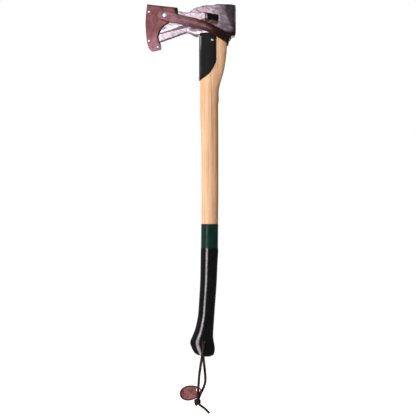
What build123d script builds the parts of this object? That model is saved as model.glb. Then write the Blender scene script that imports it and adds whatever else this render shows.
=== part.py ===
"""Two-handed forest axe with a leather blade sheath and a wrist lanyard.

Frame, in millimetres: the origin is the centre of the hand grip, +Z runs up the handle to the head,
+X points to the poll (the hammer side) and the blade points to -X. The plane Y = 0 halves the axe.
"""
import os
from math import atan2, cos, degrees, pi, radians, sin, tan

from build123d import *

# ---------------------------------------------------------------- handle
SHOULDER = 603.0            # where the neck narrows to the tongue that fills the eye
NECK_LONG = 158.0           # the oval shaft deepens over this length below the shoulder
NECK_START = SHOULDER - NECK_LONG
GRIP_TOP = 118.0            # upper end of the dipped grip
COATING = 1.2               # thickness of the grip's coating
BAND_TOP = 172.5
BAND_THICK = 0.9
HOLE_X, HOLE_Z = -8.4, -95.6
HOLE_R = 4.0
HOLE_RIM = 0.9              # bare wood left round the hole by the coating

# ---------------------------------------------------------------- head
HEAD_ABOVE = 65.0           # the head's top above the shoulder
HEAD_TOP = SHOULDER + HEAD_ABOVE
HANDLE_TOP = HEAD_TOP - 1.0  # the wood ends just inside the eye
POLL_BACK = 64.8
POLL_HIGH = 71.6            # height of the poll's striking face
POLL_BOTTOM = HEAD_TOP - POLL_HIGH
POLL_HALF = 16.0            # half thickness at the striking face
EYE_HALF = 19.0             # half thickness beside the eye
EYE_MID = 15.5
EYE_LENGTH = 60.0
EYE_WIDTH = 24.0
LINER = 1.5                 # black liner between the wood and the eye
LEDGE = 2.1                 # the neck stands this far in front of the eye
NECK_FRONT = EYE_MID - EYE_LENGTH / 2 - LEDGE
NECK_BACK = EYE_MID + EYE_LENGTH / 2 - 0.1
EDGE_X = -125.5             # the two ends of the cutting edge
EDGE_HIGH = 86.0            # from heel to toe
EDGE_BULGE = 2.6            # how far the edge is crowned in front of them
EDGE_HALF = 0.4
BEVEL_LENGTH = 8.0
BEVEL_HALF = 2.0
TOE_Z = HEAD_TOP - 2.4
HEEL_Z = TOE_Z - EDGE_HIGH
BLADE_LONG = 59.5           # flat part of the blade
CHEEK_X = EDGE_X + BLADE_LONG    # the flat blade meets the swelling cheek here
CHEEK_HALF = 7.3
POLL_CHAMFER = 1.8
WINDOW_DEPTH = 8.5          # cheek window, measured from the widest point of the cheek
WINDOW_LEFT, WINDOW_RIGHT = -3.4, 25.2
RAMP_LOW = SHOULDER + 20.0  # the window's lower wall is a ramp that starts here on the cheek
FACET_DEEP = 2.6            # how far the flat ground face has cut into the cheek at the window

# ---------------------------------------------------------------- guard
GUARD_THICK = 2.0
GUARD_REAR = 19.9
GUARD_LONG = 106.0
GUARD_TIP = SHOULDER - GUARD_LONG
GUARD_CORNER = 4.5
BOLT_X, BOLT_DROP = 10.6, 16.8
BOLT_Z = SHOULDER - BOLT_DROP
BOLT_R = 2.5
BOLT_HEAD_R = 4.5
BOLT_HEAD_HIGH = 2.6
NUT_ACROSS = 8.0
NUT_HIGH = 4.0
SCREW_Z = GUARD_TIP + 7.0
SCREW_R = 1.8
SCREW_HEAD_R = 3.4
SCREW_LONG = 14.0

# ---------------------------------------------------------------- wedges
WEDGE_LONG, WEDGE_DEEP = 44.0, 46.0
WEDGE_TOP, WEDGE_END = 4.4, 1.0
RING_R, RING_WALL, RING_DEEP = 7.5, 1.8, 14.0

# ---------------------------------------------------------------- sheath and strap
LEATHER = 2.5
STRAP = 2.4
SOFT_GAP = 0.3
WELT_HALF = 1.5             # half the filler strip between the two leaves
WELT_EDGE = EDGE_X - 4.1    # the leaves start to open here, just in front of the edge
MOUTH_X = CHEEK_X - 0.3
MOUTH_INNER = CHEEK_HALF + 0.9   # half of the pocket's width at its mouth
SHEATH_FRONT = EDGE_X - 14.6
SHEATH_TOP_FRONT = TOE_Z + 5.0
SHEATH_TOP_REAR = TOE_Z - 3.8
RIVET_R, RIVET_HEAD_R, RIVET_HEAD_HIGH = 1.5, 3.2, 1.0
RIVETS = [(EDGE_X - 6.9, TOE_Z - 12.4), (EDGE_X - 6.9, HEEL_Z + 7.8), (EDGE_X + 13.2, HEEL_Z - 6.2)]
SNAP_X, SNAP_Z = EDGE_X + 29.3, TOE_Z - 20.8
CAP_R, CAP_HIGH = 6.6, 1.9
SOCKET_R = 4.0
STUD_R, STUD_HIGH = 2.2, 1.9
STUD_FLANGE_R, STUD_FLANGE = 3.6, 0.7
STRAP_TOUCH = 12.0          # behind this the strap lies on the cheek
STRAP_END = SNAP_X - 15.8
BIGHT_BACK = NECK_BACK + 0.2     # inside of the bight, at its lower edge
BIGHT_LEAN = 0.22           # how much it slants backwards per unit of height
BIGHT_ROUND = 5.6
BIGHT_LOW, BIGHT_HIGH = SHOULDER - 24.0, SHOULDER + 1.0
HINGE_X = BIGHT_BACK - BIGHT_ROUND
FLANK_END = POLL_BACK - 3.8  # the strap covers the poll's lower corner up to here
TOP_REAR_X = MOUTH_X - 1.7
TOP_FRONT_X = SHEATH_FRONT + 3.9
SLIDE_RISE = (SHEATH_TOP_FRONT - SHEATH_TOP_REAR) / (TOP_REAR_X - TOP_FRONT_X)

# ---------------------------------------------------------------- lanyard
LACE = 4.5
TAIL = 5.0
TAG_Y = -4.0
TAG_THICK = 3.0
TAG_HOLE_R = 5.2
TAG_HOLE_X, TAG_HOLE_Z = -20.9, -203.8
TAG_MID_X, TAG_MID_Z = -37.5, -209.6
TAG_LONG, TAG_HIGH = 51.0, 33.4
TAG_TAPER = 0.16
TAG_TILT = 11.5
KNOT_X, KNOT_Y, KNOT_Z = -22.2, -2.0, -231.3
KNOT_R = 7.4

# The handle's wood as oval sections: height, front, back, width.
GRIP_SECTIONS = [
    (-126.6, -13.0, 7.0, 9.0),
    (-125.0, -19.5, 11.5, 15.6),
    (-121.6, -25.8, 14.4, 20.0),
    (-115.4, -31.0, 15.7, 22.8),
    (-107.4, -34.8, 16.0, 24.0),
    (-97.0, -37.7, 14.3, 24.4),
    (-84.0, -33.8, 12.4, 24.2),
    (-70.0, -28.0, 12.6, 24.0),
    (-52.0, -23.2, 13.9, 24.0),
    (-32.0, -19.7, 15.2, 24.2),
    (-9.0, -18.0, 16.8, 24.4),
    (16.0, -16.4, 18.7, 24.6),
    (43.0, -15.0, 20.5, 24.8),
    (70.0, -14.3, 21.6, 24.8),
    (95.0, -13.9, 22.9, 24.8),
    (GRIP_TOP, -13.5, 23.4, 24.8),
]
# The shaft's: share of the way from the grip to the neck, front, back, width.
SHAFT_SHARES = [
    (0.0, -13.5, 23.4, 24.8),
    (0.1, -13.0, 24.0, 25.0),
    (0.22, -12.9, 24.6, 25.0),
    (0.37, -13.2, 25.1, 25.0),
    (0.54, -13.4, 25.2, 25.0),
    (0.71, -13.7, 25.1, 25.0),
    (0.86, -15.4, 25.0, 25.0),
    (1.0, NECK_FRONT, 24.8, 25.4),
]
SHAFT_SECTIONS = [(GRIP_TOP + share * (NECK_START - GRIP_TOP), *oval) for share, *oval in SHAFT_SHARES]
# The neck's: height below the shoulder, how far the back stands in front of the shoulder's, width.
NECK_STEPS = [
    (133.0, 19.6, 25.6),
    (113.0, 16.2, 25.8),
    (93.0, 10.2, 26.2),
    (73.0, 5.6, 26.6),
    (51.0, 2.5, 27.0),
    (25.0, 0.5, 27.2),
    (0.0, 0.0, 27.4),
]
NECK_SECTIONS = [SHAFT_SECTIONS[-1]] + [(SHOULDER - down, NECK_FRONT, NECK_BACK - inset, width)
                                        for down, inset, width in NECK_STEPS]


# ---------------------------------------------------------------- small helpers
def oval(z, front, back, width, grow=0.0):
    """One horizontal section of the handle, or of something wrapped round it."""
    return Pos((front + back) / 2, 0, z) * Ellipse((back - front) / 2 + grow, width / 2 + grow)


def oval_loft(sections, grow=0.0):
    return loft([oval(*section, grow) for section in sections])


def side_prism(edges, half_width):
    """A closed side outline, drawn in X and Z, pulled out to both sides of the middle plane."""
    return extrude(Plane.XZ * make_face(edges), amount=half_width, both=True)


def plan_prism(edges, low, high):
    """A closed outline seen from above, between two heights."""
    return extrude(Pos(0, 0, low) * make_face(edges), amount=high - low)


def from_shoulder(*points):
    """Points given as X and height above the shoulder."""
    return [(x, SHOULDER + up) for x, up in points]


def from_toe(*points):
    """Points given as distances behind and above the toe of the blade."""
    return [(EDGE_X + back, TOE_Z + up) for back, up in points]


def from_heel(*points):
    """Points given as distances behind and above the heel of the blade."""
    return [(EDGE_X + back, HEEL_Z + up) for back, up in points]


def cross_pin(x, z, radius, half_length):
    return Pos(x, 0, z) * Rot(90, 0, 0) * Cylinder(radius, 2 * half_length)


def other_side(solid):
    return mirror(solid, about=Plane.XZ)


def leaf_slope():
    """Angle, in degrees, that each leaf of the sheath makes with the middle plane."""
    return degrees(atan2(MOUTH_INNER - WELT_HALF, MOUTH_X - WELT_EDGE))


def leaf_inside(x):
    """Distance of a leaf's inner face from the middle plane."""
    return WELT_HALF + max(0.0, x - WELT_EDGE) * tan(radians(leaf_slope()))


def leaf_outside(x):
    return leaf_inside(x) + LEATHER


# ---------------------------------------------------------------- head
def head_outline():
    """Side view of the head: poll, arched top, toe, crowned edge, heel, beard, lug and eye."""
    eye_bottom = SHOULDER + 0.4
    poll_front = NECK_BACK + 1.2
    face, corner, gap = NECK_FRONT - GUARD_THICK, GUARD_CORNER, 0.5
    poll_top, poll_foot = (POLL_BACK, HEAD_TOP), (POLL_BACK, POLL_BOTTOM)
    shoulder_top, brow = (20.9, HEAD_TOP + 0.2), (-41.2, HEAD_TOP - 17.6)
    toe, heel = (EDGE_X, TOE_Z), (EDGE_X + 1.1, HEEL_Z)
    beard, *lug = from_shoulder((-44.4, 1.9), (-38.2, -0.2), (-30.5, -4.6), (-25.8, -6.4))
    lug_foot = lug[-1][1]
    top = Spline(shoulder_top, (-10.2, HEAD_TOP - 4.0), (-30.2, HEAD_TOP - 8.6), brow)
    blade_top = Spline(brow, (CHEEK_X - 0.2, HEAD_TOP - 13.4), toe)
    edge = ThreePointArc(toe, (EDGE_X - EDGE_BULGE, (TOE_Z + HEEL_Z) / 2), heel)
    blade_foot = Spline(heel, *from_heel((18.2, 4.2), (36.3, 10.4)), (CHEEK_X - 5.0, SHOULDER - 6.4),
                        (-53.5, SHOULDER - 0.3), beard)
    rest = Polyline(lug[-1], (face - gap, lug_foot), (face - gap, SHOULDER - corner + gap),
                    (face + 0.3 * corner - gap, SHOULDER - 0.3 * corner + gap), (face + corner, eye_bottom),
                    (poll_front, eye_bottom), (poll_front, POLL_BOTTOM), poll_foot, poll_top, shoulder_top)
    return [top, blade_top, edge, blade_foot, Spline(beard, *lug), rest]


def head_plan():
    """Half thickness along the head, seen from above: bevel, flat blade, cheek, eye, poll."""
    tip = EDGE_X - EDGE_BULGE - 2
    side = [(EDGE_X + BEVEL_LENGTH, BEVEL_HALF), (CHEEK_X, CHEEK_HALF)]
    cheek = [side[-1], (-42.0, CHEEK_HALF + 2.6), (-21.0, EYE_HALF - 5.0), (-3.0, EYE_HALF - 1.8),
             (EYE_MID, EYE_HALF), (EYE_MID + 24, EYE_HALF - 0.6), (POLL_BACK + 1, POLL_HALF)]
    near = Spline(*[(x, -y) for x, y in cheek])
    far = Spline(*cheek)
    return [Polyline((CHEEK_X, -CHEEK_HALF), (side[0][0], -BEVEL_HALF), (tip, -EDGE_HALF),
                     (tip, EDGE_HALF), side[0], side[-1]),
            far, Line((POLL_BACK + 1, POLL_HALF), (POLL_BACK + 1, -POLL_HALF)), near]


def eye_oval(z, clearance=0.0):
    half = EYE_LENGTH / 2
    return oval(z, EYE_MID - half, EYE_MID + half, EYE_WIDTH, clearance)


def beard_section(x, half, ridge, wall, foot, bevel, step, hollow):
    """What is ground off the near cheek under the ridge, at one place along the head: a slanting
    wall below the ridge, a set-back or hollow face, and a bevel to the lower edge. Heights are
    from the shoulder."""
    inside = half - step
    under = 0.55 * inside * (bevel + 1) / bevel
    points = from_shoulder((-half - 12, ridge), (-half, ridge), (-inside + hollow, ridge - wall),
                           (-inside, foot + bevel), (-inside + under, foot - 1), (-half - 12, foot - 1))
    return Plane.YZ.offset(x) * make_face(Polyline(*points, close=True))


def ground_beard():
    """Loft of the sections from the heel, past the notch and along the lug, to the eye."""
    sections = [(EDGE_X + 11.5, 2.4, -1.0, 0.6, -20.2, 1.5, 0.15, 0.0), (-71.0, 6.8, 12.0, 4.4, -6.6, 3.2, 1.4, 0.0),
                (-45.0, 9.3, 22.0, 8.0, 1.7, 4.3, 2.3, 0.0), (-36.0, 10.9, 23.5, 8.0, -1.5, 4.8, 2.4, 0.9),
                (-26.0, 12.8, 24.0, 8.0, -6.6, 5.0, 2.4, 1.6), (-19.4, 14.3, 25.0, 8.0, -6.6, 5.0, 2.4, 1.2),
                (-6.0, 17.2, 27.0, 4.0, 0.0, 1.0, 0.1, 0.0)]
    return loft([beard_section(*section) for section in sections], ruled=True)


def cheek_window():
    """The near window: a hole to the eye, with a ramp for its lower wall."""
    inside, outside = EYE_HALF - WINDOW_DEPTH, EYE_HALF + 8
    hole_low, hole_top = SHOULDER + 33.0, SHOULDER + 46.2
    outline = [(WINDOW_LEFT, hole_top), (WINDOW_RIGHT, hole_top - 5.8), (WINDOW_RIGHT, hole_low - 4.6),
               (WINDOW_RIGHT - 7.4, hole_low - 3.0), (WINDOW_RIGHT - 10.6, hole_low), (WINDOW_LEFT, hole_low)]
    hole = extrude(Plane.XZ.offset(inside) * make_face(Polyline(*outline, close=True)), amount=outside - inside)
    top = hole_low + 0.6
    wedge = make_face(Polyline((-inside, top), (-EYE_HALF, RAMP_LOW), (-outside, RAMP_LOW), (-outside, top),
                               close=True))
    return hole + extrude(Plane.YZ.offset(WINDOW_LEFT) * wedge, amount=WINDOW_RIGHT - WINDOW_LEFT)


def ground_facet():
    """The flat face of the blade carried back into the swelling cheek, as far as the window."""
    front, rear = CHEEK_X + 4, WINDOW_LEFT
    deep, foot = EYE_HALF - 1.8 - FACET_DEEP, RAMP_LOW - 1
    upper = from_shoulder((front, 44.0), (-42.0, 46.4), (-28.0, 44.2), (-13.0, 47.6), (rear, 46.4))
    outline = Polyline(*upper, (rear, foot), (front, foot), close=True)
    above = plan_prism(Polyline((front, -CHEEK_HALF - 0.5), (rear, -deep), (rear, -deep - 20), (front, -deep - 20),
                                close=True), POLL_BOTTOM, HEAD_TOP + 10)
    return side_prism(outline, 60) & above


def axe_head():
    head = side_prism(head_outline(), EYE_HALF + 5)
    head &= plan_prism(head_plan(), HEEL_Z - 20, HEAD_TOP + 10)
    head -= extrude(eye_oval(POLL_BOTTOM - 5), amount=HEAD_TOP - POLL_BOTTOM + 20)
    for cut in (ground_beard(), cheek_window(), ground_facet()):
        head -= cut
        head -= other_side(cut)
    rear = head.faces().sort_by(Axis.X)[-1].edges()
    return chamfer(rear, POLL_CHAMFER)


# ---------------------------------------------------------------- handle and its fittings
def tongue(grow=0.0):
    """The wood that fills the eye, inside the liner."""
    bottom = eye_oval(SHOULDER, grow - LINER)
    top = eye_oval(HANDLE_TOP, grow - LINER)
    return loft([bottom, top])


def bare_handle():
    return oval_loft(GRIP_SECTIONS) + oval_loft(SHAFT_SECTIONS) + oval_loft(NECK_SECTIONS) + tongue()


def eye_wedge_blank():
    half_top, half_end = WEDGE_TOP / 2, WEDGE_END / 2
    low = HANDLE_TOP - WEDGE_DEEP
    face = make_face(Polyline((-half_end, low), (half_end, low), (half_top, HANDLE_TOP),
                              (-half_top, HANDLE_TOP), close=True))
    return extrude(Plane.YZ.offset(EYE_MID - WEDGE_LONG / 2) * face, amount=WEDGE_LONG)


def ring_wedge():
    low = HANDLE_TOP - RING_DEEP
    outer = Pos(EYE_MID, 0, low + RING_DEEP / 2) * Cylinder(RING_R, RING_DEEP)
    inner = Pos(EYE_MID, 0, low + RING_DEEP / 2) * Cylinder(RING_R - RING_WALL, RING_DEEP)
    return outer - inner


def guard_bolt():
    """Carriage bolt across the neck, its domed head on the near side."""
    outside = guard_half(BOLT_Z)
    shank = cross_pin(BOLT_X, BOLT_Z, BOLT_R, outside)
    end = Pos(BOLT_X, outside + NUT_HIGH / 2 + 0.5, BOLT_Z) * Rot(90, 0, 0) \
        * Cylinder(BOLT_R, NUT_HIGH + 1)
    ball = (BOLT_HEAD_R ** 2 + BOLT_HEAD_HIGH ** 2) / (2 * BOLT_HEAD_HIGH)
    dome = Pos(BOLT_X, ball - BOLT_HEAD_HIGH - outside, BOLT_Z) * Sphere(ball)
    slab = Pos(BOLT_X, -outside - BOLT_HEAD_HIGH / 2, BOLT_Z) \
        * Box(4 * BOLT_HEAD_R, BOLT_HEAD_HIGH, 4 * BOLT_HEAD_R)
    return shank + end + (dome & slab)


def guard_nut():
    outside = guard_half(BOLT_Z)
    hexagon = RegularPolygon(NUT_ACROSS / 2, 6, major_radius=False) - Circle(BOLT_R)
    seat = Plane(origin=(BOLT_X, outside, BOLT_Z), x_dir=(1, 0, 0), z_dir=(0, 1, 0))
    return extrude(seat * hexagon, amount=NUT_HIGH)


def guard_half(z):
    """Half of the guard's outer width, level with its bolt."""
    low, high = NECK_SECTIONS[-2:]
    share = (z - low[0]) / (high[0] - low[0])
    width = low[3] + share * (high[3] - low[3])
    return width / 2 + GUARD_THICK


def guard_front_screw():
    """Short wood screw that holds the guard's tip, driven in from the front."""
    face = NECK_FRONT - GUARD_THICK
    shank = Pos(face + SCREW_LONG / 2, 0, SCREW_Z) * Rot(0, 90, 0) * Cylinder(SCREW_R, SCREW_LONG)
    head = Pos(face + 0.4, 0, SCREW_Z) * Rot(0, -90, 0) * Sphere(SCREW_HEAD_R)
    outside = Pos(face + 0.6 - SCREW_HEAD_R, 0, SCREW_Z) * Box(2 * SCREW_HEAD_R, 10, 10)
    return shank + (Pos(1.2, 0, 0) * head & outside)


def guard_sleeve(wood):
    """Steel sleeve wrapped round the front of the neck, cut away to a point below."""
    shell = oval_loft(NECK_SECTIONS, GUARD_THICK) - wood
    front = NECK_FRONT - GUARD_THICK - 5
    rear = Spline((GUARD_REAR, GUARD_TIP + 47), (GUARD_REAR - 1.6, GUARD_TIP + 39),
                  (GUARD_REAR - 6.8, GUARD_TIP + 28), (GUARD_REAR - 16.8, GUARD_TIP + 14.3),
                  (GUARD_REAR - 27, GUARD_TIP + 6.8), (GUARD_REAR - 37.3, GUARD_TIP))
    face = NECK_FRONT - GUARD_THICK
    rest = Polyline((GUARD_REAR - 37.3, GUARD_TIP), (front, GUARD_TIP), (front, SHOULDER - GUARD_CORNER),
                    (face, SHOULDER - GUARD_CORNER), (face + 0.3 * GUARD_CORNER, SHOULDER - 0.3 * GUARD_CORNER),
                    (face + GUARD_CORNER, SHOULDER), (GUARD_REAR, SHOULDER), (GUARD_REAR, GUARD_TIP + 47))
    return shell & side_prism([rear, rest], 40)


def eye_liner():
    outer = extrude(eye_oval(SHOULDER + 0.4), amount=HANDLE_TOP - SHOULDER - 1.4)
    return outer - tongue()


def green_band(wood):
    """Painted collar between the bare shaft and the grip."""
    lower = SHAFT_SECTIONS[0]
    upper = SHAFT_SECTIONS[1]
    return loft([oval(*lower, BAND_THICK), oval(BAND_TOP, *upper[1:], BAND_THICK)]) - wood


def grip_coating(wood):
    """Dipped coating of the grip: the grip's own sections grown by its thickness."""
    first = GRIP_SECTIONS[0]
    sections = [(first[0] - COATING, *first[1:])] + GRIP_SECTIONS[1:]
    return oval_loft(sections, COATING) - wood


# ---------------------------------------------------------------- sheath
def sheath_top(z_drop=0.0):
    """The straight folded top edge, as two points, lowered by z_drop."""
    return (TOP_FRONT_X, SHEATH_TOP_FRONT - z_drop), (TOP_REAR_X, SHEATH_TOP_REAR - z_drop)


def sheath_outline(z_drop=0.0):
    front_top, rear_top = sheath_top(z_drop)
    mouth_foot = from_toe((MOUTH_X - EDGE_X, -16.6))[0]
    border = Spline(mouth_foot, *from_toe((42.5, -35.2), (28.1, -45.0)),
                    *from_heel((19.4, 30.8), (15.1, 19.6), (15.7, 9.4), (20.5, 0.8)))
    tip, corner = from_heel((3.3, -15.6), (21.6, -10.4))
    front = Spline(tip, *from_heel((-4.6, -11.9), (-9.2, -3.4)), (SHEATH_FRONT + 1.8, HEEL_Z + 17.4),
                   *[(SHEATH_FRONT, TOE_Z - 41.6), (SHEATH_FRONT + 1.6, TOE_Z - 12.4)], front_top)
    return [Polyline(front_top, rear_top, (MOUTH_X, SHEATH_TOP_REAR - 3.4), mouth_foot), border,
            Line(border @ 1, corner), Line(corner, tip), front]


def leaf_plan(inner_only=False):
    """The near leaf from above; with inner_only, the room between the two leaves."""
    front, rear = SHEATH_FRONT - 5, MOUTH_X + 5
    inner = [(front, -WELT_HALF), (WELT_EDGE, -WELT_HALF), (rear, -leaf_inside(rear))]
    if inner_only:
        return Polyline(*inner, (rear, leaf_inside(rear)), (WELT_EDGE, WELT_HALF), (front, WELT_HALF),
                        close=True)
    outer = [(rear, -leaf_outside(rear)), (WELT_EDGE, -WELT_HALF - LEATHER),
             (front, -WELT_HALF - LEATHER)]
    return Polyline(*inner, *outer, close=True)


def near_leaf():
    leaf = side_prism(sheath_outline(LEATHER), 30)
    return leaf & plan_prism(leaf_plan(), HEEL_Z - 40, TOE_Z + 40)


def sheath_spine():
    """The fold along the top, as wide as both leaves together. Its underside runs straight along
    the slide."""
    front, rear = SHEATH_FRONT - 10, MOUTH_X + 5
    (front_x, front_z), (rear_x, rear_z) = sheath_top(LEATHER)
    low_end = rear_z - SLIDE_RISE * (rear - rear_x)
    room = Polyline((front_x, front_z), (rear, low_end), (rear, TOE_Z - 40), (front_x, TOE_Z - 40), close=True)
    strip = side_prism(sheath_outline(), 30) - side_prism(sheath_outline(LEATHER), 31) - side_prism(room, 31)
    outside = Polyline((front, -WELT_HALF - LEATHER), (WELT_EDGE, -WELT_HALF - LEATHER),
                       (rear, -leaf_outside(rear)), (rear, leaf_outside(rear)),
                       (WELT_EDGE, WELT_HALF + LEATHER), (front, WELT_HALF + LEATHER), close=True)
    return strip & plan_prism(outside, TOE_Z - 12, TOE_Z + 20)


def sheath_welt():
    """Filler strip between the leaves, along the front and below the heel."""
    between = side_prism(sheath_outline(LEATHER), 30) & plan_prism(leaf_plan(True), HEEL_Z - 40, TOE_Z + 40)
    top, rear = TOE_Z + 24, MOUTH_X + 16
    under_heel = (EDGE_X - 0.2, HEEL_Z - 1.4)
    edge_front = ThreePointArc((EDGE_X - 1.2, top), (EDGE_X - EDGE_BULGE - 1.2, (TOE_Z + HEEL_Z) / 2), under_heel)
    rest = Polyline(under_heel, (EDGE_X + 35.5, HEEL_Z - 1.4 - SLIDE_RISE * 35.7), (rear, HEEL_Z + 20),
                    (rear, top), (EDGE_X - 1.2, top))
    return between - side_prism([edge_front, rest], 40)


def rivets():
    """Three tubular rivets with flat heads on both leaves."""
    group = []
    for x, z in RIVETS:
        outside = leaf_outside(x)
        rivet = cross_pin(x, z, RIVET_R, outside)
        for side in (-1, 1):
            rivet += Pos(x, side * (outside + RIVET_HEAD_HIGH / 2), z) * Rot(90, 0, 0) \
                * Cylinder(RIVET_HEAD_R, RIVET_HEAD_HIGH)
        group.append(rivet)
    return group


# ---------------------------------------------------------------- snap fasteners
def snap_plane(out):
    """A plane on the near leaf's outer face at the snap, moved outwards by out."""
    slope = radians(leaf_slope())
    normal = Vector(-sin(slope), -cos(slope), 0)
    seat = Vector(SNAP_X, -leaf_outside(SNAP_X), SNAP_Z)
    return Plane(origin=seat + normal * out, x_dir=(0, 0, 1), z_dir=normal)


def snap_stud():
    """Post riveted through the leaf from inside."""
    flange = extrude(snap_plane(-LEATHER) * Circle(STUD_FLANGE_R), amount=STUD_FLANGE)
    post = extrude(snap_plane(-LEATHER) * Circle(STUD_R), amount=LEATHER + STUD_HIGH)
    return flange + post


def snap_socket():
    """Ring in the strap that clips over the stud."""
    return extrude(snap_plane(SOFT_GAP) * (Circle(SOCKET_R) - Circle(STUD_R + 0.1)), amount=STRAP)


def snap_cap():
    ball = (CAP_R ** 2 + CAP_HIGH ** 2) / (2 * CAP_HIGH)
    dome = snap_plane(SOFT_GAP + STRAP + CAP_HIGH - ball).location * Sphere(ball)
    slab = extrude(snap_plane(SOFT_GAP + STRAP) * Circle(CAP_R + 1), amount=CAP_HIGH)
    return dome & slab


# ---------------------------------------------------------------- strap
def strap_outline():
    """Near leg of the strap from the side: rounded end at the snap, falling to the neck."""
    rear_top, rear_low = from_shoulder((HINGE_X - SOFT_GAP, 4.2), (HINGE_X - SOFT_GAP, -20.2))
    upper = Spline(*from_toe((21.9, -10.4), (36.9, -13.2), (59.4, -19.4)),
                   *from_shoulder((-39.0, 37.0), (-16.4, 30.2), (6.1, 21.1), (24.1, 12.0)), rear_top)
    lower = Spline(rear_low, *from_shoulder((24.1, -10.6), (6.1, -0.5), (-16.4, 8.6), (-39.0, 14.6)),
                   *from_toe((59.4, -40.4), (37.3, -35.6), (19.5, -30.0)))
    end = ThreePointArc(lower @ 1, (STRAP_END, TOE_Z - 19.2), upper @ 0)
    return [upper, Line(rear_top, rear_low), lower, end]


def strap_inside():
    """Inner face of the strap from above: on the leaf, across to the cheek, along the cheek."""
    rest = EYE_HALF + 0.5
    slope = tan(radians(leaf_slope()))
    mouth = leaf_outside(MOUTH_X) + SOFT_GAP + 0.05
    end = mouth - (MOUTH_X - STRAP_END + 6) * slope
    return [(STRAP_END - 6, -end), (MOUTH_X, -mouth), (STRAP_TOUCH, -rest), (HINGE_X + 6, -rest)]


def near_strap():
    inner = strap_inside()
    (end_x, end_y), (mouth_x, mouth_y), (touch_x, touch_y), (rear_x, rear_y) = inner
    outer = [(rear_x, rear_y - STRAP), (touch_x, touch_y - STRAP), (mouth_x, mouth_y - STRAP),
             (end_x, end_y - STRAP)]
    band = plan_prism(Polyline(*inner, *outer, close=True), SHOULDER - 40, HEAD_TOP + 20)
    return side_prism(strap_outline(), 40) & band


def strap_bight():
    """The strap's loop round the back of the neck, under the poll, with a flank each side that
    covers the poll's lower corner; it stays on the handle."""
    half = EYE_HALF + 0.5

    def slab(grow):
        plate = Pos((BIGHT_BACK + grow) / 2, 0) * Rectangle(BIGHT_BACK + grow, 2 * (half + grow))
        return fillet(plate.vertices().group_by(Axis.X)[-1], BIGHT_ROUND + grow)

    low_ring = Pos(0, 0, BIGHT_LOW) * (slab(STRAP) - slab(0.0))
    ring = extrude(low_ring, amount=BIGHT_HIGH - BIGHT_LOW, dir=(BIGHT_LEAN, 0, 1))
    under_poll, far_out = POLL_BOTTOM - 0.4, POLL_BACK + 6
    outline = side_prism(Polyline((HINGE_X, SHOULDER - 20.4), (HINGE_X + 3.6, BIGHT_LOW), (far_out, BIGHT_LOW),
                                  (far_out, under_poll), (HINGE_X, under_poll), close=True), 60)
    corner = Polyline((HINGE_X, SHOULDER - 14), (FLANK_END - 9, SHOULDER - 12.4), (FLANK_END - 6.6, SHOULDER - 6.8),
                      (FLANK_END - 0.2, SHOULDER - 2.6), (FLANK_END, BIGHT_HIGH - 3), (FLANK_END - 3, BIGHT_HIGH),
                      (HINGE_X + 8, BIGHT_HIGH), (HINGE_X, SHOULDER + 4), close=True)
    flank = side_prism(corner, half + STRAP)
    flank -= Pos(HINGE_X + 20, 0, SHOULDER - 6) * Box(80, 2 * half, 60)
    return (ring & outline) + flank


# ---------------------------------------------------------------- lanyard
def cord_tube(name, points, diameter):
    """A tube along straight runs joined by arcs as large as the runs allow."""
    radii = []
    for before, corner, after in zip(points, points[1:], points[2:]):
        run_in, run_out = Vector(*corner) - Vector(*before), Vector(*after) - Vector(*corner)
        half_turn = radians(run_in.get_angle(run_out)) / 2
        radii.append(0.45 * min(run_in.length, run_out.length) / tan(half_turn))
    path = FilletPolyline(*points, radius=radii) if radii else Line(*points)
    section = Plane(origin=path @ 0, z_dir=path % 0) * Circle(diameter / 2)
    tube = sweep(section, path=path)
    expected = pi * diameter ** 2 / 4 * path.length
    print(name, "radii", [round(r, 1) for r in radii], "volume share", round(tube.volume / expected, 4))
    return tube


LACE_Z = HOLE_Z - (HOLE_R - LACE / 2 - SOFT_GAP)     # the lace lies on the bottom of the hole
LACE_MOUTH = 13.9
NEAR_ROUTE = [
    (HOLE_X, -LACE_MOUTH, LACE_Z),
    (HOLE_X, -17.2, LACE_Z),
    (HOLE_X - 0.2, -19.7, LACE_Z - 2.6),
    (HOLE_X - 0.6, -20.0, LACE_Z - 7.6),
    (HOLE_X - 1.6, -19.2, LACE_Z - 16.6),
    (-12.2, -17.6, -129.0),
    (-14.6, -15.2, -143.0),
    (-16.8, -9.5, -158.5),
    (-18.6, -3.6, -173.0),
    (-19.4, 1.4, -185.4),
    (-20.1, 3.0, -196.4),
    (-21.3, -10.8, -210.6),
    (-21.9, -9.6, -219.0),
    (-22.2, -5.2, -227.2),
]
FAR_ROUTE = [
    (HOLE_X, LACE_MOUTH, LACE_Z),
    (HOLE_X, 17.2, LACE_Z),
    (HOLE_X - 0.1, 19.7, LACE_Z - 2.6),
    (HOLE_X - 0.2, 20.0, LACE_Z - 7.6),
    (HOLE_X - 0.5, 19.2, LACE_Z - 16.6),
    (-9.1, 18.0, -129.0),
    (-8.0, 16.2, -143.0),
    (-6.2, 12.0, -157.0),
    (-4.6, 7.4, -172.0),
    (-4.2, 5.0, -186.0),
    (-7.6, 4.4, -197.6),
    (-12.9, 3.8, -208.4),
    (-17.6, 2.4, -218.2),
    (-20.6, 0.4, -227.0),
]
TAIL_ROUTE = [(-19.6, -2.6, -235.4), (-11.6, -3.6, -241.4), (-3.6, -2.6, -247.0), (5.0, -4.0, -256.3)]


def lace_in_hole():
    return cross_pin(HOLE_X, LACE_Z, LACE / 2, LACE_MOUTH)


def lanyard_knot():
    """Overhand knot of both strands, with the short cut end beside it."""
    ball = Pos(KNOT_X, KNOT_Y, KNOT_Z) * Sphere(KNOT_R)
    stub = Pos(KNOT_X - 4.4, KNOT_Y, KNOT_Z - 6.4) * Rot(0, 40, 0) * Cylinder(LACE / 2, 8)
    return ball + stub


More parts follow.
